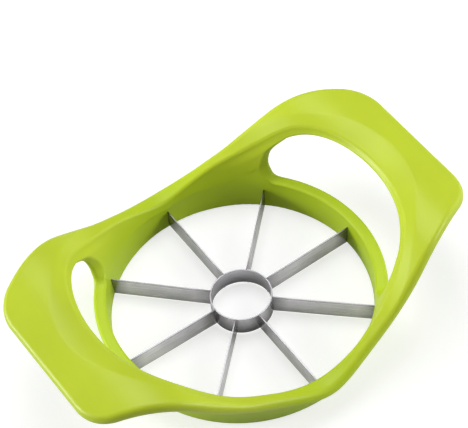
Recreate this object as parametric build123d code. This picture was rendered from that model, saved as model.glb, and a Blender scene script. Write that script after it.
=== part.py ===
from build123d import *
import math
import os

# Apple slicer and corer, millimetres. +Z is up, X runs along the two handles.
# The origin is on the axis of the cutting ring, in the plane that the ring stands on.

# ---- driving dimensions -------------------------------------------------------------------
OPENING_RADIUS = 48.3        # clear radius that the apple passes through
FOOT_RADIUS = 49.8           # outer radius of the ring where it stands
WALL_SLOPE = 0.32            # outward lean of the outer wall, radius over height
RING_HEIGHT = 13.2           # top of the ring under the wings
BOWL_START = 11.2            # height where the inner wall begins to open upwards
BOWL_SLOPE = 0.42            # outward lean of the inner wall, radius over height
BOWL_TOP = 53.0              # safely above the wings
WALL_TOP = 33.0              # the outer wall ends inside the roots of the wings
WALL_ROOT = 0.9              # how far past mid-thickness the wall reaches into the wings
WALL_CATCH = -5.0            # safely below the table

HALF_LENGTH = 81.3           # from the ring axis to the straight end of a wing
WING_THICKNESS = 4.8
CORNER_RADIUS = 15.4         # rounding of the wing corners seen from above
RIM_FILLET = 2.2             # rounding of the outer rim, nearly a full half circle
MOUTH_FILLET = 1.5           # rounding of the bowl's mouth
WEB_FILLET = 1.3             # rounding of the wall round the finger openings
FOOT_FILLET = 0.4            # rounding of both edges of the foot
# stations along a handle: distance from the axis, then half width or height of mid-thickness
WING_SIDE = ((0, 56.0), (14.5, 53.8), (28.5, 51.0), (42.7, 47.7), (57, 42.6), (71, 36.0), (88, 26.9))
WING_WAVE = ((0, 11.3), (14, 14.8), (28, 20.9), (42, 29.3), (56, 37.9), (63, 39.1), (70, 38.1), (88, 31.9))
WAVE_STEPS = 16              # points of the curves beside mid-thickness

FINGER_HALF_WIDTH = 37.4     # half width of a finger opening, across the handles
FINGER_SHOULDER = 25.0       # above this height its sides lean in, under the wings
FINGER_CROWN = 42.0          # where it ends, above the wings' undersides
FINGER_CROWN_HALF = 27.2     # half width there
FINGER_CORNER = 6.0          # rounding of its lower corners
FINGER_SHOULDER_FILLET = 8.0
FINGER_START = 28.0          # the cut for the fingers runs outwards from here
FINGER_END = 62.0

BLADE_COUNT = 8
BLADE_HEIGHT = 8.4
BLADE_THICKNESS = 0.5
BLADE_LIFT = 0.4             # cutting edges clear the table by this much
BLADE_ANCHOR = 1.1           # length of blade moulded into the ring wall
GROUND_HEIGHT = 1.2          # height of the ground bevel of a cutting edge
EDGE_THICKNESS = 0.1         # what the bevel leaves at the edge itself
BLADE_DRIFT = (0.5, -0.5, -0.4, -1.1, -1.0, -1.0, -0.6, 0.9)  # degrees off an even spacing, as welded

CORE_RADIUS = 11.5           # outer radius of the core ring
CORE_THICKNESS = 0.5
CORE_LIFT = 0.8
CORE_HEIGHT = 7.9

REACH = 140.0                # longer than the object is wide
NEAR = 0.01                  # how closely a height or radius is matched


def mirrored(points):
    """Stations of the +X half, preceded by their mirror image at -X."""
    return [(-x, value) for x, value in reversed(points[1:])] + list(points)


def wave(offset):
    """The saddle curve of the wings in the XZ plane, moved sideways by offset."""
    centre = Spline(*mirrored(WING_WAVE))
    points = []
    for step in range(WAVE_STEPS + 1):
        place = centre @ (step / WAVE_STEPS)
        along = centre % (step / WAVE_STEPS)
        points.append((place.X - along.Y * offset, place.Y + along.X * offset))
    return Spline(*points)


def across(section):
    """A solid that carries an XZ section right across the object along Y."""
    return extrude(Plane.XZ.offset(-REACH / 2) * make_face(section), amount=REACH)


def wing_plate():
    """The two wings and the rim between them: a saddle plate cut to the plan outline."""
    upper = wave(WING_THICKNESS / 2)
    lower = wave(-WING_THICKNESS / 2)
    slab = across(upper + Line(upper @ 1, lower @ 1) + lower + Line(lower @ 0, upper @ 0))
    far = Spline(*mirrored(WING_SIDE))
    near = Spline(*[(x, -y) for x, y in mirrored(WING_SIDE)])
    plan = make_face(far + Line(far @ 1, near @ 1) + near + Line(near @ 0, far @ 0))
    prism = extrude(plan & Rectangle(2 * HALF_LENGTH, REACH), amount=REACH)
    prism = fillet(prism.edges().filter_by(Axis.Z), CORNER_RADIUS)
    plate = slab & prism
    rim = plate.edges().filter_by(lambda edge: edge.length > WING_THICKNESS * 1.5)
    plate = fillet(rim, RIM_FILLET) - bowl()
    mouth = plate.faces().filter_by(GeomType.CONE).edges()
    return fillet(mouth, MOUTH_FILLET)


def inner_radius(height):
    """Radius of the bowl's cone."""
    return OPENING_RADIUS + BOWL_SLOPE * (height - BOWL_START)


def outer_radius(height):
    """Radius of the outside of the wall, which leans outwards from the foot."""
    return FOOT_RADIUS + WALL_SLOPE * height


def ring_section():
    """Section of the ring and of the wall above it, from the foot to inside the wings."""
    outline = Polyline(
        (OPENING_RADIUS, 0), (FOOT_RADIUS, 0), (outer_radius(WALL_TOP), WALL_TOP),
        (inner_radius(WALL_TOP), WALL_TOP), (OPENING_RADIUS, BOWL_START), (OPENING_RADIUS, 0))
    face = make_face(outline)
    return fillet(face.vertices().group_by(Axis.Y)[0], FOOT_FILLET)


def beside_finger_opening(edge):
    """True for the edges where a finger opening breaks through the two faces of the wall."""
    place = edge @ 0.5
    radius = math.hypot(place.X, place.Y)
    on_wall = min(abs(radius - inner_radius(place.Z)), abs(radius - outer_radius(place.Z))) < NEAR
    return on_wall and abs(place.X) > FINGER_START and RING_HEIGHT - NEAR < place.Z < WALL_TOP - NEAR


def ring_wall():
    """The round ring and the wall that carries the wings, up to the middle of the plate."""
    turned = revolve(Plane.YZ * ring_section(), axis=Axis.Z) - finger_cutter()
    turned = fillet(turned.edges().filter_by(beside_finger_opening), WEB_FILLET)
    turned = turned - [radial_blade(index) for index in range(BLADE_COUNT)]
    top = wave(WALL_ROOT)
    right = (top @ 1).X, WALL_CATCH
    left = (top @ 0).X, WALL_CATCH
    return turned & across(top + Polyline(top @ 1, right, left, top @ 0))


def finger_cutter():
    """What is cut from the wall on both sides so that fingers reach under the wings."""
    side = FINGER_HALF_WIDTH
    crown = FINGER_CROWN_HALF
    outline = Polyline(
        (-side, RING_HEIGHT), (side, RING_HEIGHT), (side, FINGER_SHOULDER), (crown, FINGER_CROWN),
        (-crown, FINGER_CROWN), (-side, FINGER_SHOULDER), (-side, RING_HEIGHT))
    face = make_face(outline)
    face = fillet(face.vertices().group_by(Axis.Y)[0], FINGER_CORNER)
    shoulders = face.vertices().filter_by(lambda corner: abs(corner.Y - FINGER_SHOULDER) < NEAR)
    face = fillet(shoulders, FINGER_SHOULDER_FILLET)
    cutter = extrude(Plane.YZ.offset(FINGER_START) * face, amount=FINGER_END - FINGER_START)
    return cutter + mirror(cutter, Plane.YZ)


def bowl():
    """The cone that the apple sits in, carried on down to a point below the table."""
    tip = BOWL_START - OPENING_RADIUS / BOWL_SLOPE
    section = Polyline((0, tip), (BOWL_SLOPE * (BOWL_TOP - tip), BOWL_TOP), (0, BOWL_TOP), (0, tip))
    return revolve(Plane.XZ * make_face(section), axis=Axis.Z)


def handle_frame():
    """The moulded frame: ring, wall and wings in one piece, with a pocket for each blade."""
    return wing_plate() + ring_wall()


def radial_blade(index):
    """A straight strip on edge, from the core ring into the ring wall, ground at the bottom."""
    half = BLADE_THICKNESS / 2
    edge = EDGE_THICKNESS / 2
    outline = Polyline(
        (-edge, 0), (edge, 0), (half, GROUND_HEIGHT), (half, BLADE_HEIGHT),
        (-half, BLADE_HEIGHT), (-half, GROUND_HEIGHT), (-edge, 0))
    section = Plane.YZ * Pos(0, BLADE_LIFT) * make_face(outline)
    strip = extrude(section, amount=OPENING_RADIUS + BLADE_ANCHOR)
    strip = strip - Cylinder(CORE_RADIUS, REACH)
    return strip.rotate(Axis.Z, index * 360 / BLADE_COUNT + BLADE_DRIFT[index])


def core_ring():
    """The short steel tube that cuts out the core, ground sharp from the inside."""
    inside = CORE_RADIUS - CORE_THICKNESS
    top = CORE_LIFT + CORE_HEIGHT
    outline = Polyline(
        (CORE_RADIUS, CORE_LIFT), (CORE_RADIUS, top), (inside, top),
        (inside, CORE_LIFT + GROUND_HEIGHT), (CORE_RADIUS - EDGE_THICKNESS, CORE_LIFT),
        (CORE_RADIUS, CORE_LIFT))
    return revolve(Plane.YZ * make_face(outline), axis=Axis.Z)


def main():
    os.makedirs("parts", exist_ok=True)
    export_step(handle_frame(), "parts/handle_frame.step")
    export_step(core_ring(), "parts/core_ring.step")
    for index in range(BLADE_COUNT):
        export_step(radial_blade(index), f"parts/radial_blade_{index + 1}.step")


if __name__ == "__main__":
    main()
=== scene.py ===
"""Apple slicer with wing handles: its moulded finish, its cutting steel and the stage."""
import math

import bpy
import numpy as np
from mathutils import Matrix, Vector


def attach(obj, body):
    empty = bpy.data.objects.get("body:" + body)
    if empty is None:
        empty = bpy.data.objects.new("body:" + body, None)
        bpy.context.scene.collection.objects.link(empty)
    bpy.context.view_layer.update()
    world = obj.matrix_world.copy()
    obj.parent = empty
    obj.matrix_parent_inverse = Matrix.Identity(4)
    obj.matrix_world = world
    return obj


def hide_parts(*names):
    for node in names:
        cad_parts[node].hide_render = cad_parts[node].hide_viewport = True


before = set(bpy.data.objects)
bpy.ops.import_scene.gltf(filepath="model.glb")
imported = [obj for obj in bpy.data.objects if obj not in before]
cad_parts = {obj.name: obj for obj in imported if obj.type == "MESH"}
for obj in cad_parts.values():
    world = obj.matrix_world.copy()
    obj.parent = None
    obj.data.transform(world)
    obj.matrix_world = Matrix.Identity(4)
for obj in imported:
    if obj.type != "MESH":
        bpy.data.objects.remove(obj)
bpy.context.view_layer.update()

bl_info = {
    "name": "Apple Slicer",
    "version": (1, 0, 0),
    "blender": (4, 5, 0),
    "location": "3D View > Sidebar > Slicer",
    "description": "Finishes a moulded apple slicer with steel blades and lights it on a pale table",
    "category": "Object",
}

MM = 0.001
BODY = "root"
FRAME_NODE = "handle_frame"
CORE_NODE = "core_ring"
BLADE_NODES = [f"radial_blade_{number}" for number in range(1, 9)]

# the eye: where it stands, the directions to its right and up, and its lens
EYE = Vector((-225.11, -389.21, 627.11)) * MM
EYE_RIGHT = Vector((0.81445, -0.57597, -0.07021))
EYE_UP = Vector((0.49008, 0.61807, 0.61466))
LENS = 161.58
SENSOR = 36.0


# ---- settings a user may change ------------------------------------------------------------

class SlicerPlastic(bpy.types.PropertyGroup):
    """Finish of the moulded frame and the roll of its wings."""
    colour: bpy.props.FloatVectorProperty(
        name="Colour", description="Colour of the wings", subtype="COLOR",
        size=3, min=0, max=1, default=(0.505, 0.62, 0.031))
    # painted shade: the deeper green that the lower walls show in shade, painted on the ring
    ring_shade_colour: bpy.props.FloatVectorProperty(
        name="Ring Colour", description="Deeper colour of the thick ring at the bottom", subtype="COLOR",
        size=3, min=0, max=1, default=(0.462, 0.628, 0.010))
    roughness: bpy.props.FloatProperty(
        name="Roughness", description="How matt the moulded surface is", subtype="FACTOR",
        min=0, max=1, default=0.36)
    crease_reach: bpy.props.FloatProperty(
        name="Crease Reach", description="Distance from the ring's axis at which a wing's crease bows out",
        unit="LENGTH", default=70.5 * MM)
    crease_depth: bpy.props.FloatProperty(
        name="Crease Depth", description="How far the crease has come in at 40 mm to the side",
        unit="LENGTH", default=23.6 * MM)
    crease_softness: bpy.props.FloatProperty(
        name="Crease Softness", description="Width over which the wing begins to roll down",
        unit="LENGTH", default=0.55 * MM)
    roll_slope: bpy.props.FloatProperty(
        name="Roll Slope", description="How much steeper the wing gets inside the crease", default=0.33)


class SlicerSteel(bpy.types.PropertyGroup):
    """Finish and section of the blades and the core ring."""
    colour: bpy.props.FloatVectorProperty(
        name="Colour", description="Colour of the cutting steel", subtype="COLOR",
        size=3, min=0, max=1, default=(0.635, 0.62, 0.655))
    roughness: bpy.props.FloatProperty(
        name="Roughness", description="How matt the brushed steel is", subtype="FACTOR",
        min=0, max=1, default=0.24)
    # painted shade: how dark a blade is painted where it meets the core and the ring
    end_shade_tone: bpy.props.FloatProperty(
        name="End Tone", description="How dark a blade is where it meets the core and the ring",
        subtype="FACTOR", min=0, max=1, default=0.5)
    # painted shade: the core is painted darker towards its lower, cutting edge
    core_shade_tone: bpy.props.FloatProperty(
        name="Core Tone", description="How dark the core is towards its cutting edge",
        subtype="FACTOR", min=0, max=1, default=0.4)
    # painted shade: how much darker the narrow tops of the strips are painted
    top_shade_tone: bpy.props.FloatProperty(
        name="Top Tone", description="How dark the narrow tops of the strips are",
        subtype="FACTOR", min=0, max=1, default=0.42)
    thickness: bpy.props.FloatProperty(
        name="Strip Thickness", description="Thickness of the strip that the blades are cut from",
        unit="LENGTH", default=0.5 * MM)
    edge_thickness: bpy.props.FloatProperty(
        name="Edge Thickness", description="What the grinding leaves at a cutting edge",
        unit="LENGTH", default=0.1 * MM)
    ground_height: bpy.props.FloatProperty(
        name="Ground Height", description="Height of the ground bevel above a cutting edge",
        unit="LENGTH", default=1.2 * MM)
    rounding: bpy.props.FloatProperty(
        name="Edge Rounding", description="Radius of the tumbled upper edges",
        unit="LENGTH", default=0.14 * MM)


class SlicerStage(bpy.types.PropertyGroup):
    """The table top and the strength of the lights."""
    floor_size: bpy.props.FloatProperty(
        name="Floor Size", description="Side of the table top", unit="LENGTH", default=6.0)
    daylight: bpy.props.FloatProperty(
        name="Daylight", description="Strength of the even light all round", default=0.09)
    overhead: bpy.props.FloatProperty(
        name="Overhead Lamp", description="Power of the near lamp above", unit="POWER", default=1.66)
    behind: bpy.props.FloatProperty(
        name="Behind Lamp", description="Power of the large faint lamp behind", unit="POWER", default=0.5)
    back_left: bpy.props.FloatProperty(
        name="Back Left Lamp", description="Power of the low lamp behind on the left",
        unit="POWER", default=38.0)
    right: bpy.props.FloatProperty(
        name="Right Lamp", description="Power of the low lamp on the right", unit="POWER", default=0.85)
    front_right: bpy.props.FloatProperty(
        name="Front Right Lamp", description="Power of the lamp in front on the right",
        unit="POWER", default=6.6)


# ---- mesh helpers --------------------------------------------------------------------------

WELD = 0.0005 * MM           # corners that agree to this become one vertex
SLOPE_STEP = 0.02 * MM       # half the step over which slopes are taken
FLAT_SHARP = math.radians(5)      # edges that turn more than this stay crisp on a straight strip
ROUND_SHARP = math.radians(30)    # and more than this on a round tube
TUMBLED_FROM = math.radians(60)   # edges that turn more than this are rounded
TUMBLED_STEPS = 3


def link_piece(name, mesh, node, material):
    """Put a mesh into the scene as the piece that stands for a CAD node."""
    piece = bpy.data.objects.new(name, mesh)
    bpy.context.scene.collection.objects.link(piece)
    mesh.materials.append(material)
    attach(piece, BODY)
    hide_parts(node)
    return piece


def node_corners(node):
    """Places and directions of all triangle corners of a CAD node, as one (n, 3, 6) array."""
    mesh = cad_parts[node].data
    mesh.calc_loop_triangles()
    count = len(mesh.loop_triangles)
    loops = np.empty(count * 3, dtype=np.int32)
    mesh.loop_triangles.foreach_get("loops", loops)
    vertex_of_loop = np.empty(len(mesh.loops), dtype=np.int32)
    mesh.loops.foreach_get("vertex_index", vertex_of_loop)
    places = np.empty(len(mesh.vertices) * 3)
    mesh.vertices.foreach_get("co", places)
    normals = np.empty(len(mesh.loops) * 3)
    mesh.corner_normals.foreach_get("vector", normals)
    places = places.reshape(-1, 3)[vertex_of_loop[loops]]
    normals = normals.reshape(-1, 3)[loops]
    return np.hstack((places, normals)).reshape(count, 3, 6)


def turn_corners(corners, shift):
    """Start each triangle at another of its corners, shift places on."""
    order = (shift[:, None] + np.arange(3)) % 3
    return np.take_along_axis(corners, order[:, :, None], axis=1)


def split_long_edges(corners, limit, chosen):
    """
    Cut triangles at the midpoints of their long edges until no chosen edge is longer than limit.
    A triangle with one long edge becomes two, with two it becomes three and with three it becomes
    four. Both neighbours of an edge see the same length, so they cut it at the same place.
    """
    while True:
        following = np.roll(corners, -1, axis=1)
        length = np.linalg.norm(following[..., :3] - corners[..., :3], axis=2)
        long = (length > limit) & chosen(corners) & chosen(following)
        count = long.sum(axis=1)
        if not count.any():
            return corners
        kept = corners[count == 0]
        one = turn_corners(corners[count == 1], np.argmax(long[count == 1], axis=1))
        two = turn_corners(corners[count == 2], (np.argmin(long[count == 2], axis=1) + 1) % 3)
        three = corners[count == 3]
        pieces = [kept]
        a, b, c = one.transpose(1, 0, 2)
        pieces += [np.stack(t, axis=1) for t in ((a, (a + b) / 2, c), ((a + b) / 2, b, c))]
        a, b, c = two.transpose(1, 0, 2)
        ab, bc = (a + b) / 2, (b + c) / 2
        pieces += [np.stack(t, axis=1) for t in ((ab, b, bc), (a, ab, bc), (a, bc, c))]
        a, b, c = three.transpose(1, 0, 2)
        ab, bc, ca = (a + b) / 2, (b + c) / 2, (c + a) / 2
        pieces += [np.stack(t, axis=1) for t in ((a, ab, ca), (ab, b, bc), (ca, bc, c), (ab, bc, ca))]
        corners = np.concatenate(pieces)


def corners_to_mesh(name, corners):
    """A smooth mesh of triangles with its own direction at every corner."""
    places = corners[..., :3].reshape(-1, 3)
    keys = np.round(places / WELD).astype(np.int64)
    _, first, index = np.unique(keys, axis=0, return_index=True, return_inverse=True)
    faces = index.reshape(-1, 3)
    whole = (faces[:, 0] != faces[:, 1]) & (faces[:, 1] != faces[:, 2]) & (faces[:, 2] != faces[:, 0])
    mesh = bpy.data.meshes.new(name)
    mesh.from_pydata(places[first].tolist(), [], faces[whole].tolist())
    normals = corners[whole][..., 3:].reshape(-1, 3)
    normals = normals / np.linalg.norm(normals, axis=1, keepdims=True)
    mesh.shade_smooth()
    mesh.normals_split_custom_set(normals.tolist())
    return mesh


def carried(corners, move):
    """
    Move places by a function and turn their directions with the surface: with S the slopes of the
    function, row i for a step along axis i, a direction n becomes the solution m of S m = n.
    """
    place, normal = corners[..., :3], corners[..., 3:]
    slopes = []
    for step in SLOPE_STEP * np.eye(3):
        slopes.append((move(place + step) - move(place - step)) / (2 * SLOPE_STEP))
    turned = np.linalg.solve(np.stack(slopes, axis=-2), normal[..., None])[..., 0]
    return np.concatenate((move(place), turned), axis=-1)


def sweep_closed(name, rings, distance, height, closed_path):
    """
    A surface through rings of points: ring i, point j is rings[i, j]. Neighbouring points and
    neighbouring rings are joined by quads. An open path ends in flat caps, a closed one joins
    its last ring to its first. The map "strip" holds distance[i] along and height[j] across.
    """
    ring_count, point_count = rings.shape[:2]
    last = ring_count if closed_path else ring_count - 1
    i, j = np.meshgrid(np.arange(last), np.arange(point_count), indexing="ij")
    i, j = i.ravel(), j.ravel()
    i_next, j_next = (i + 1) % ring_count, (j + 1) % point_count
    quads = np.stack((i * point_count + j, i_next * point_count + j,
                      i_next * point_count + j_next, i * point_count + j_next), axis=1)
    faces = quads.tolist()
    along = np.stack((distance[i], distance[i + 1], distance[i + 1], distance[i]), axis=1)
    across = np.stack((height[j], height[j], height[j + 1], height[j + 1]), axis=1)
    layout = np.stack((along.ravel(), across.ravel()), axis=1)
    if not closed_path:
        start = np.arange(point_count)
        end = (ring_count - 1) * point_count + start[::-1]
        faces += [start.tolist(), end.tolist()]
        caps = np.concatenate((np.stack((start * 0 + distance[0], height[:-1]), axis=1),
                               np.stack((start * 0 + distance[-1], height[:-1][::-1]), axis=1)))
        layout = np.concatenate((layout, caps))
    mesh = bpy.data.meshes.new(name)
    mesh.from_pydata(rings.reshape(-1, 3).tolist(), [], faces)
    strip = mesh.uv_layers.new(name="strip")
    strip.data.foreach_set("uv", layout.ravel())
    mesh.shade_smooth()
    mesh.set_sharp_from_angle(angle=ROUND_SHARP if closed_path else FLAT_SHARP)
    return mesh


def round_edges(piece, radius):
    """Round the edges of a piece that turn by more than TUMBLED_FROM."""
    bevel = piece.modifiers.new("tumbled", "BEVEL")
    bevel.width = radius
    bevel.segments = TUMBLED_STEPS
    bevel.limit_method = "ANGLE"
    bevel.angle_limit = TUMBLED_FROM
    bevel.harden_normals = True


# ---- the moulded frame ---------------------------------------------------------------------

WING_DEPTH = 5.6 * MM        # upright thickness of a wing where it is steepest
CREASE_GRID = 0.8 * MM       # longest edge where the wing rolls down
CREASE_SIDE = 40 * MM        # how far to the side the crease's depth is given
RING_TOP = 14 * MM           # everything of a wing is higher than this
WING_START = 20 * MM         # distance from the middle where a wing begins
ROLL_FADE = 20 * MM          # length over which its roll comes in from there
WING_FACING = 0.1            # the upper half of a wing faces up at least this much
TOP_FACING = 0.5             # its upper side faces up at least this much
TOP_LEAN = 0.02              # and sideways at most this much
TOP_SIDE = 10 * MM           # and is looked for at least this far to the side

BOWL_RADIUS = 48.3 * MM      # inner wall: upright up to its bend, then leaning outwards
BOWL_BEND = 11.2 * MM
BOWL_SLOPE = 0.42
BOWL_MATCH = 0.04 * MM       # how closely a corner lies on it
BOWL_FACING = 0.7            # the inner wall faces the axis at least this much
BOWL_SOFTNESS = 4.5 * MM
BOWL_REACH = 24 * MM         # the bend is softened well below this height
MOUTH_DEPTH = 2.6 * MM       # height of the rounding at the bowl's mouth
MOUTH_FADE = 8 * MM          # height over which the softening fades out below it
FOOT_START = 1 * MM          # the softening begins at this height
FOOT_FADE = 5 * MM           # and takes this height to come in

OPENING_END = math.radians(44.2)  # where a finger opening ends, seen from the ring's axis
OPENING_END_HEIGHT = 15.8 * MM
OPENING_END_PULL = 1.6 * MM  # how far its lower corner is drawn in
OPENING_END_REACH = 3.6 * MM  # and how far round it that is felt
LEAST_SHARE = 0.01           # corners that move by less than this share are left uncut


def smooth_step(value):
    """Zero below 0, one above 1 and the curve 3 v v - 2 v v v between."""
    value = np.clip(value, 0, 1)
    return value * value * (3 - 2 * value)


def wing_top(corners):
    """Height of the wings' upper side as a function of x, from the corners that lie on it."""
    place = corners.reshape(-1, 6)
    level = (place[:, 5] > TOP_FACING) & (abs(place[:, 4]) < TOP_LEAN) & (abs(place[:, 1]) > TOP_SIDE)
    level &= (place[:, 2] > RING_TOP) | (abs(place[:, 0]) < WING_START)
    x, height = place[level, 0], place[level, 2]
    order = np.argsort(x)
    return lambda at: np.interp(at, x[order], height[order])


def roll_down(place, look, top):
    """
    Places after the wings roll down towards the finger openings. The crease is the parabola
    |x| = reach - bow y y. With depth the distance inside it, the loss is
    slope (sqrt(depth depth + softness softness) + depth) / 2. It is full on the upper side of a
    wing and fades to nothing on its underside.
    """
    x, y, z = place[..., 0], place[..., 1], place[..., 2]
    bow = look.crease_depth / CREASE_SIDE ** 2
    depth = (look.crease_reach - bow * y * y - abs(x)) / np.hypot(1, 2 * bow * y)
    loss = look.roll_slope * (np.hypot(depth, look.crease_softness) + depth) / 2
    share = smooth_step(1 - (top(x) - z) / WING_DEPTH)
    outside = smooth_step((abs(x) - WING_START) / ROLL_FADE)
    height = np.where(z > RING_TOP, z - loss * share * outside, z)
    return np.stack((x, y, height), axis=-1)


def on_bowl(corners):
    """True for corners on the inner wall, below the wings."""
    x, y, z = corners[..., 0], corners[..., 1], corners[..., 2]
    radius = BOWL_RADIUS + BOWL_SLOPE * np.maximum(z - BOWL_BEND, 0)
    return (abs(np.hypot(x, y) - radius) < BOWL_MATCH) & (z < BOWL_REACH)


def soften_bowl(corners, top):
    """
    Turn the bend of the inner wall into a soft curve. With rise the height above the bend, the
    radius becomes bowl radius + slope (sqrt(rise rise + softness softness) + rise) / 2. The curve
    fades out towards the foot and well below the mouth.
    """
    wall = on_bowl(corners)
    z = corners[..., 2]
    rise = z - BOWL_BEND
    below = np.minimum(BOWL_REACH, top(corners[..., 0]) - MOUTH_DEPTH) - z
    share = smooth_step((z - FOOT_START) / FOOT_FADE) * smooth_step(below / MOUTH_FADE) * wall
    reach = np.hypot(rise, BOWL_SOFTNESS)
    gain = BOWL_SLOPE * ((reach + rise) / 2 - np.maximum(rise, 0)) * share
    flat = corners[..., :2]
    radius = np.linalg.norm(flat, axis=-1)
    outward = flat / radius[..., None]
    softened = corners.copy()
    softened[..., :2] += gain[..., None] * outward
    slope = BOWL_SLOPE * ((1 + rise / reach) / 2 * share + (rise > 0) * (1 - share))
    facing = wall & ((corners[..., 3:5] * outward).sum(axis=-1) < -BOWL_FACING) & (share > 0)
    inward = np.concatenate((-outward, slope[..., None]), axis=-1)
    softened[..., 3:] = np.where(facing[..., None], inward, corners[..., 3:])
    return softened


def end_share(place):
    """How strongly a place moves at the ends of the finger openings: exp(-(distance / reach)^2)."""
    x, y, z = place[..., 0], place[..., 1], place[..., 2]
    along = (np.arctan2(abs(y), abs(x)) - OPENING_END) * np.hypot(x, y)
    return np.exp(-(along ** 2 + (z - OPENING_END_HEIGHT) ** 2) / OPENING_END_REACH ** 2)


def near_ends(corners):
    """True for corners that move at the ends of the finger openings."""
    return end_share(corners[..., :3]) > LEAST_SHARE


def round_ends(place):
    """
    Places after the lower corners of the finger openings are drawn in: each turns about the ring's
    axis, away from the end of the opening, by OPENING_END_PULL times its share.
    """
    x, y, z = place[..., 0], place[..., 1], place[..., 2]
    radius = np.hypot(x, y)
    turn = np.arctan2(abs(y), abs(x)) - OPENING_END_PULL * end_share(place) / radius
    return np.stack((radius * np.cos(turn) * np.sign(x), radius * np.sin(turn) * np.sign(y), z), axis=-1)


def on_wing(corners):
    """True for corners on the upper half of a wing, near or inside its crease."""
    x, z = corners[..., 0], corners[..., 2]
    return (abs(x) > WING_START) & (z > RING_TOP) & (corners[..., 5] > WING_FACING)


# ---- node helpers --------------------------------------------------------------------------

NOISE_LOW = 0.3              # nearly all of a noise lies between these
NOISE_HIGH = 0.7


def empty_material(name):
    """A node material with nothing but its output, its tree and that output's surface."""
    material = bpy.data.materials.new(name)
    material.use_nodes = True
    tree = material.node_tree
    tree.nodes.clear()
    output = tree.nodes.new("ShaderNodeOutputMaterial")
    return material, tree, output.inputs["Surface"]


def shaded_material(name):
    """A node material, its tree and its principled shader."""
    material, tree, surface = empty_material(name)
    shader = tree.nodes.new("ShaderNodeBsdfPrincipled")
    tree.links.new(shader.outputs["BSDF"], surface)
    return material, tree, shader


def noise(tree, vector, scale, detail=2.0):
    """A noise texture read at a vector."""
    node = tree.nodes.new("ShaderNodeTexNoise")
    node.inputs["Scale"].default_value = scale
    node.inputs["Detail"].default_value = detail
    tree.links.new(vector, node.inputs["Vector"])
    return node.outputs["Fac"]


def spread(tree, value, low, high, start=NOISE_LOW, end=NOISE_HIGH):
    """Carry a value from start-end to low-high. The usual start and end are those of a noise."""
    node = tree.nodes.new("ShaderNodeMapRange")
    node.inputs["From Min"].default_value = start
    node.inputs["From Max"].default_value = end
    node.inputs["To Min"].default_value = low
    node.inputs["To Max"].default_value = high
    tree.links.new(value, node.inputs["Value"])
    return node.outputs["Result"]


def stretched(tree, vector, scale):
    """A vector scaled along each of its axes."""
    node = tree.nodes.new("ShaderNodeMapping")
    node.inputs["Scale"].default_value = scale
    tree.links.new(vector, node.inputs["Vector"])
    return node.outputs["Vector"]


def combine(tree, operation, first, second):
    """Two values combined by an operation such as ADD or MULTIPLY."""
    node = tree.nodes.new("ShaderNodeMath")
    node.operation = operation
    tree.links.new(first, node.inputs[0])
    tree.links.new(second, node.inputs[1])
    return node.outputs["Value"]


def scaled(tree, colour, tone):
    """A colour made lighter or darker by a tone."""
    node = tree.nodes.new("ShaderNodeVectorMath")
    node.operation = "SCALE"
    tree.links.new(colour, node.inputs["Vector"])
    tree.links.new(tone, node.inputs["Scale"])
    return node.outputs["Vector"]


def plain(tree, colour):
    """A single colour as a node output."""
    node = tree.nodes.new("ShaderNodeRGB")
    node.outputs["Color"].default_value = (*colour, 1)
    return node.outputs["Color"]


def blend_colours(tree, factor, first, second):
    """The colour between two colours, by a factor."""
    node = tree.nodes.new("ShaderNodeMix")
    node.data_type = "RGBA"
    node.inputs["A"].default_value = (*first, 1)
    node.inputs["B"].default_value = (*second, 1)
    tree.links.new(factor, node.inputs["Factor"])
    return node.outputs["Result"]


def bump(tree, height, strength, distance, below=None):
    """A bump of a height, laid over another bump if one is given."""
    node = tree.nodes.new("ShaderNodeBump")
    node.inputs["Strength"].default_value = strength
    node.inputs["Distance"].default_value = distance
    tree.links.new(height, node.inputs["Height"])
    if below is not None:
        tree.links.new(below, node.inputs["Normal"])
    return node.outputs["Normal"]


# ---- finishes ------------------------------------------------------------------------------

RING_TONE_END = 9 * MM       # the ring's painted shade colour and its dullness reach up to here
WING_TONE_START = 22 * MM    # and have turned into those of the wings here
RING_ROUGHNESS = 0.45
PLASTIC_SPECULAR = 0.3
# noises in the plastic: how often each repeats in a metre, its detail and what it does
CLOUD_NOISE = (45, 3)
CLOUD_TONES = (0.965, 1.035)
PATCH_NOISE = (160, 3)
PATCH_ROUGHNESS = (-0.04, 0.05)
WAVE_NOISE = (55, 1)
WAVE_STRENGTH = 0.25
WAVE_HEIGHT = 0.25 * MM
SKIN_NOISE = (2600, 2)
SKIN_STRENGTH = 0.12
SKIN_HEIGHT = 0.03 * MM

CORE_SIDE = 11.5 * MM        # where a blade leaves the core
RING_SIDE = 48.3 * MM        # where it enters the ring
SHADE_END_REACH = 6 * MM           # how far the painted shade at a blade's ends reaches
CORE_SHADE_BELOW = 1.5 * MM   # heights between which the painted shade on the core fades out
CORE_BRIGHT_ABOVE = 8.5 * MM
TOP_SHADE_FROM = 8.4 * MM     # heights between which the steel's top is painted darker, painted shade that tones down its bright edge reflections
TOP_SHADE_TO = 8.7 * MM
# lines of the rolled strip: how often they repeat along it and across it in a metre
FINE_LINES = (160, 5200, 1)
FINE_DETAIL = 4
STREAK_LINES = (45, 1500, 1)
STREAK_DETAIL = 3
STREAK_TONES = (0.86, 1.12)
STAIN_NOISE = (70, 3)
STAIN_TONES = (0.84, 1.14)
STEEL_POLISHED = -0.02       # how far the fine lines take the roughness down and up
STEEL_DULL = 0.04
STEEL_ANISOTROPY = 0.3
GRAIN_STRENGTH = 0.12
GRAIN_HEIGHT = 0.012 * MM


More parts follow.
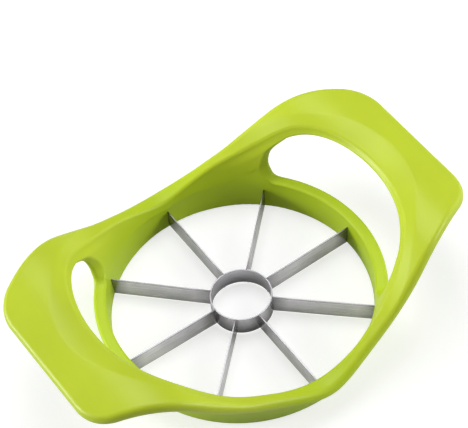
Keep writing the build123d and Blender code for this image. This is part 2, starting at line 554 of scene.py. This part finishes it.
def plastic_material(look):
    """
    Satin moulded plastic: faint clouds of colour, a fine skin and very shallow flow waves. The ring is
    duller than the wings, and its deeper green is painted shade: the lower walls are painted in the colour
    they show in shade.
    """
    material, tree, shader = shaded_material("lime_plastic")
    place = tree.nodes.new("ShaderNodeTexCoord").outputs["Object"]
    split = tree.nodes.new("ShaderNodeSeparateXYZ")
    tree.links.new(place, split.inputs["Vector"])
    out_of_shade = spread(tree, split.outputs["Z"], 0, 1, RING_TONE_END, WING_TONE_START)
    # painted shade: the colour turns from the deeper green of shade low down into the wings' own colour
    # higher up
    base = blend_colours(tree, out_of_shade, look.ring_shade_colour, look.colour)
    clouds = spread(tree, noise(tree, place, *CLOUD_NOISE), *CLOUD_TONES)
    tree.links.new(scaled(tree, base, clouds), shader.inputs["Base Color"])
    patches = spread(tree, noise(tree, place, *PATCH_NOISE), *PATCH_ROUGHNESS)
    level = spread(tree, split.outputs["Z"], RING_ROUGHNESS, look.roughness, RING_TONE_END, WING_TONE_START)
    tree.links.new(combine(tree, "ADD", level, patches), shader.inputs["Roughness"])
    shader.inputs["Specular IOR Level"].default_value = PLASTIC_SPECULAR
    waves = bump(tree, noise(tree, place, *WAVE_NOISE), WAVE_STRENGTH, WAVE_HEIGHT)
    skin = bump(tree, noise(tree, place, *SKIN_NOISE), SKIN_STRENGTH, SKIN_HEIGHT, waves)
    tree.links.new(skin, shader.inputs["Normal"])
    return material


def steel_material(look, is_blade):
    """
    Rolled stainless strip: fine lines along it and faint stains. A blade is painted darker for a few
    millimetres beside the core and beside the ring, painted shade where it meets them; the core is painted
    darker towards its cutting edge, and the narrow tops of the strips are painted darker too.
    """
    material, tree, shader = shaded_material("brushed_steel")
    shader.inputs["Metallic"].default_value = 1
    layout = tree.nodes.new("ShaderNodeUVMap")
    layout.uv_map = "strip"
    fine = noise(tree, stretched(tree, layout.outputs["UV"], FINE_LINES), 1, FINE_DETAIL)
    streaks = noise(tree, stretched(tree, layout.outputs["UV"], STREAK_LINES), 1, STREAK_DETAIL)
    place = tree.nodes.new("ShaderNodeTexCoord").outputs["Object"]
    stains = spread(tree, noise(tree, place, *STAIN_NOISE), *STAIN_TONES)
    tone = combine(tree, "MULTIPLY", stains, spread(tree, streaks, *STREAK_TONES))
    split = tree.nodes.new("ShaderNodeSeparateXYZ")
    tree.links.new(layout.outputs["UV"], split.inputs["Vector"])
    # painted shade: a blade is darker near the core and near the ring, the core darker towards its lower
    # edge
    if is_blade:
        start = spread(tree, split.outputs["X"], look.end_shade_tone, 1, CORE_SIDE, CORE_SIDE + SHADE_END_REACH)
        end = spread(tree, split.outputs["X"], 1, look.end_shade_tone, RING_SIDE - SHADE_END_REACH, RING_SIDE)
        painted_shade = combine(tree, "MULTIPLY", start, end)
    else:
        painted_shade = spread(tree, split.outputs["Y"], look.core_shade_tone, 1, CORE_SHADE_BELOW, CORE_BRIGHT_ABOVE)
    tone = combine(tree, "MULTIPLY", tone, painted_shade)
    # painted shade: the tops of the strips are painted darker
    top = spread(tree, split.outputs["Y"], 1, look.top_shade_tone, TOP_SHADE_FROM, TOP_SHADE_TO)
    tone = combine(tree, "MULTIPLY", tone, top)
    tree.links.new(scaled(tree, plain(tree, look.colour), tone), shader.inputs["Base Color"])
    dull = spread(tree, fine, look.roughness + STEEL_POLISHED, look.roughness + STEEL_DULL)
    tree.links.new(dull, shader.inputs["Roughness"])
    shader.inputs["Anisotropic"].default_value = STEEL_ANISOTROPY
    grain = bump(tree, fine, GRAIN_STRENGTH, GRAIN_HEIGHT)
    tree.links.new(grain, shader.inputs["Normal"])
    return material


SEEN_PALENESS = 0.45         # how much of the lamps' light the table returns to the eye
SEEN_GLOW = 0.66             # and what is added to it
MIRRORED_PALENESS = 0.85     # the same in a reflection
MIRRORED_GLOW = 0.10
BOUNCED_PALENESS = 0.6       # the table's grey for the light that bounces off it


def floor_material():
    """
    A matt table that reads as white to the eye and in the steel and still shows the shadow: there
    a glow is added to what the lamps give. To light that bounces off it, it is a plain grey table.
    """
    material, tree, surface = empty_material("pale_table")
    path = tree.nodes.new("ShaderNodeLightPath")
    eye = path.outputs["Is Camera Ray"]
    mirrored = combine(tree, "MAXIMUM", path.outputs["Is Glossy Ray"], path.outputs["Is Transmission Ray"])
    seen = combine(tree, "MAXIMUM", eye, mirrored)
    matt = tree.nodes.new("ShaderNodeBsdfDiffuse")
    tree.links.new(spread(tree, eye, MIRRORED_PALENESS, SEEN_PALENESS, 0, 1), matt.inputs["Color"])
    glow = tree.nodes.new("ShaderNodeEmission")
    glow.inputs["Color"].default_value = (1, 1, 1, 1)
    tree.links.new(spread(tree, eye, MIRRORED_GLOW, SEEN_GLOW, 0, 1), glow.inputs["Strength"])
    both = tree.nodes.new("ShaderNodeAddShader")
    tree.links.new(matt.outputs["BSDF"], both.inputs[0])
    tree.links.new(glow.outputs["Emission"], both.inputs[1])
    dull = tree.nodes.new("ShaderNodeBsdfDiffuse")
    dull.inputs["Color"].default_value = (BOUNCED_PALENESS, BOUNCED_PALENESS, BOUNCED_PALENESS, 1)
    mix = tree.nodes.new("ShaderNodeMixShader")
    tree.links.new(seen, mix.inputs["Fac"])
    tree.links.new(dull.outputs["BSDF"], mix.inputs[1])
    tree.links.new(both.outputs["Shader"], mix.inputs[2])
    tree.links.new(mix.outputs["Shader"], surface)
    return material


# ---- pieces and stage ----------------------------------------------------------------------

BLADE_STATIONS = 25
BLADE_OVERLAP = 0.2 * MM     # how far a blade reaches into the core ring
CORE_STATIONS = 128
# each lamp's azimuth and elevation in degrees, its distance and its size in metres
LAMPS = (
    ("overhead", (62, 72), 0.55, 0.45),
    ("behind", (60, 54), 1.1, 1.3),
    ("back_left", (148, 14), 2.0, 1.1),
    ("right", (0, 18), 0.8, 0.45),
    ("front_right", (-40, 26), 1.1, 0.6),
)


class SLICER_OT_frame(bpy.types.Operator):
    """Roll the wings down inside their creases and give the frame its moulded finish"""
    bl_idname = "slicer.frame"
    bl_label = "Moulded Frame"

    def execute(self, context):
        look = context.scene.slicer_plastic
        corners = node_corners(FRAME_NODE)
        top = wing_top(corners)
        corners = split_long_edges(corners, CREASE_GRID, on_wing)
        corners = soften_bowl(split_long_edges(corners, 2 * CREASE_GRID, on_bowl), top)
        corners = carried(corners, lambda place: roll_down(place, look, top))
        corners = carried(split_long_edges(corners, CREASE_GRID, near_ends), round_ends)
        mesh = corners_to_mesh("moulded_frame", corners)
        link_piece("moulded_frame", mesh, FRAME_NODE, plastic_material(look))
        return {"FINISHED"}


def blade_mesh(name, node, look):
    """
    A ground strip on edge. Its outline runs from the cutting edge up over the ground bevel, the
    two flat sides and the square top, and is carried along the line from the axis through the
    middle of the CAD blade.
    """
    corners = node_corners(node)[..., :3].reshape(-1, 3)
    middle = corners[:, :2].mean(axis=0)
    ahead = middle / np.linalg.norm(middle)
    aside = np.array((-ahead[1], ahead[0]))
    reach = corners[:, :2] @ ahead
    low, high = corners[:, 2].min(), corners[:, 2].max()
    half, edge = look.thickness / 2, look.edge_thickness / 2
    outline = np.array((
        (edge, low), (half, low + look.ground_height), (half, high),
        (-half, high), (-half, low + look.ground_height), (-edge, low)))
    steps = np.linspace(reach.min() - BLADE_OVERLAP, reach.max(), BLADE_STATIONS)
    rings = np.empty((len(steps), len(outline), 3))
    rings[..., :2] = steps[:, None, None] * ahead + outline[None, :, :1] * aside
    rings[..., 2] = outline[:, 1]
    height = np.append(outline[:, 1], outline[0, 1])
    return sweep_closed(name, rings, steps, height, closed_path=False)


def core_mesh(look):
    """
    A short tube ground sharp from the inside. Its outline is turned about the axis: ring i stands
    at the angle 2 pi i / CORE_STATIONS.
    """
    corners = node_corners(CORE_NODE)[..., :3].reshape(-1, 3)
    outer = np.hypot(corners[:, 0], corners[:, 1]).max()
    low, high = corners[:, 2].min(), corners[:, 2].max()
    inner = outer - look.thickness
    outline = np.array((
        (outer, low), (outer, high), (inner, high), (inner, low + look.ground_height),
        (outer - look.edge_thickness, low)))
    angle = np.arange(CORE_STATIONS + 1) * 2 * np.pi / CORE_STATIONS
    distance = angle * outer
    angle = angle[:-1]
    rings = np.empty((CORE_STATIONS, len(outline), 3))
    rings[..., 0] = np.cos(angle)[:, None] * outline[:, 0]
    rings[..., 1] = np.sin(angle)[:, None] * outline[:, 0]
    rings[..., 2] = outline[:, 1]
    height = np.append(outline[:, 1], outline[0, 1])
    return sweep_closed("core_tube", rings, distance, height, closed_path=True)


class SLICER_OT_blades(bpy.types.Operator):
    """Make the eight ground blades"""
    bl_idname = "slicer.blades"
    bl_label = "Blades"

    def execute(self, context):
        look = context.scene.slicer_steel
        material = steel_material(look, is_blade=True)
        for number, node in enumerate(BLADE_NODES, start=1):
            name = f"ground_blade_{number}"
            piece = link_piece(name, blade_mesh(name, node, look), node, material)
            round_edges(piece, look.rounding)
        return {"FINISHED"}


class SLICER_OT_core(bpy.types.Operator):
    """Make the ring that cuts out the core"""
    bl_idname = "slicer.core"
    bl_label = "Core Ring"

    def execute(self, context):
        look = context.scene.slicer_steel
        material = steel_material(look, is_blade=False)
        piece = link_piece("core_tube", core_mesh(look), CORE_NODE, material)
        round_edges(piece, look.rounding)
        return {"FINISHED"}


def add_lamp(name, direction, distance, size, power):
    """A round soft lamp that looks at the object from an azimuth and an elevation in degrees."""
    data = bpy.data.lights.new(name, "AREA")
    data.shape = "DISK"
    data.size = size
    data.energy = power
    lamp = bpy.data.objects.new(name, data)
    bpy.context.scene.collection.objects.link(lamp)
    turn, tilt = (math.radians(angle) for angle in direction)
    flat = math.cos(tilt)
    place = Vector((flat * math.cos(turn), flat * math.sin(turn), math.sin(tilt))) * distance
    lamp.location = place
    lamp.rotation_euler = (-place).to_track_quat("-Z", "Y").to_euler()


def add_table(half):
    """A flat square table top, with half of its side given."""
    mesh = bpy.data.meshes.new("table")
    mesh.from_pydata([(-half, -half, 0), (half, -half, 0), (half, half, 0), (-half, half, 0)],
                     [], [(0, 1, 2, 3)])
    table = bpy.data.objects.new("table", mesh)
    bpy.context.scene.collection.objects.link(table)
    mesh.materials.append(floor_material())


def add_daylight(strength):
    """An even white light from all round."""
    world = bpy.data.worlds.new("studio")
    world.use_nodes = True
    sky = world.node_tree.nodes["Background"]
    sky.inputs["Color"].default_value = (1, 1, 1, 1)
    sky.inputs["Strength"].default_value = strength
    bpy.context.scene.world = world


def add_eye():
    """The camera, at EYE and turned so that EYE_RIGHT and EYE_UP are right and up in its view."""
    data = bpy.data.cameras.new("eye")
    data.sensor_width = SENSOR
    data.lens = LENS
    eye = bpy.data.objects.new("eye", data)
    bpy.context.scene.collection.objects.link(eye)
    axes = Matrix((EYE_RIGHT, EYE_UP, EYE_RIGHT.cross(EYE_UP))).transposed()
    eye.matrix_world = Matrix.Translation(EYE) @ axes.to_4x4()
    bpy.context.scene.camera = eye


class SLICER_OT_stage(bpy.types.Operator):
    """Add the table, the lamps and the eye"""
    bl_idname = "slicer.stage"
    bl_label = "Stage"

    def execute(self, context):
        stage = context.scene.slicer_stage
        add_table(stage.floor_size / 2)
        add_daylight(stage.daylight)
        for name, direction, distance, size in LAMPS:
            add_lamp(name, direction, distance, size, getattr(stage, name))
        add_eye()
        context.scene.view_settings.view_transform = "Standard"
        return {"FINISHED"}


class SLICER_PT_panel(bpy.types.Panel):
    """Lists the steps in the 3D view's sidebar"""
    bl_label = "Apple Slicer"
    bl_space_type = "VIEW_3D"
    bl_region_type = "UI"
    bl_category = "Slicer"

    def draw(self, context):
        for name in STEPS:
            self.layout.operator(f"slicer.{name}")


STEPS = ("frame", "blades", "core", "stage")
SETTINGS = (
    ("slicer_plastic", SlicerPlastic),
    ("slicer_steel", SlicerSteel),
    ("slicer_stage", SlicerStage),
)
CLASSES = (SLICER_OT_frame, SLICER_OT_blades, SLICER_OT_core, SLICER_OT_stage, SLICER_PT_panel)


def register():
    for name, group in SETTINGS:
        bpy.utils.register_class(group)
        setattr(bpy.types.Scene, name, bpy.props.PointerProperty(type=group))
    for cls in CLASSES:
        bpy.utils.register_class(cls)


def unregister():
    for cls in reversed(CLASSES):
        bpy.utils.unregister_class(cls)
    for name, group in reversed(SETTINGS):
        delattr(bpy.types.Scene, name)
        bpy.utils.unregister_class(group)


def main():
    register()
    for name in STEPS:
        getattr(bpy.ops.slicer, name)()


if __name__ == "__main__":
    main()
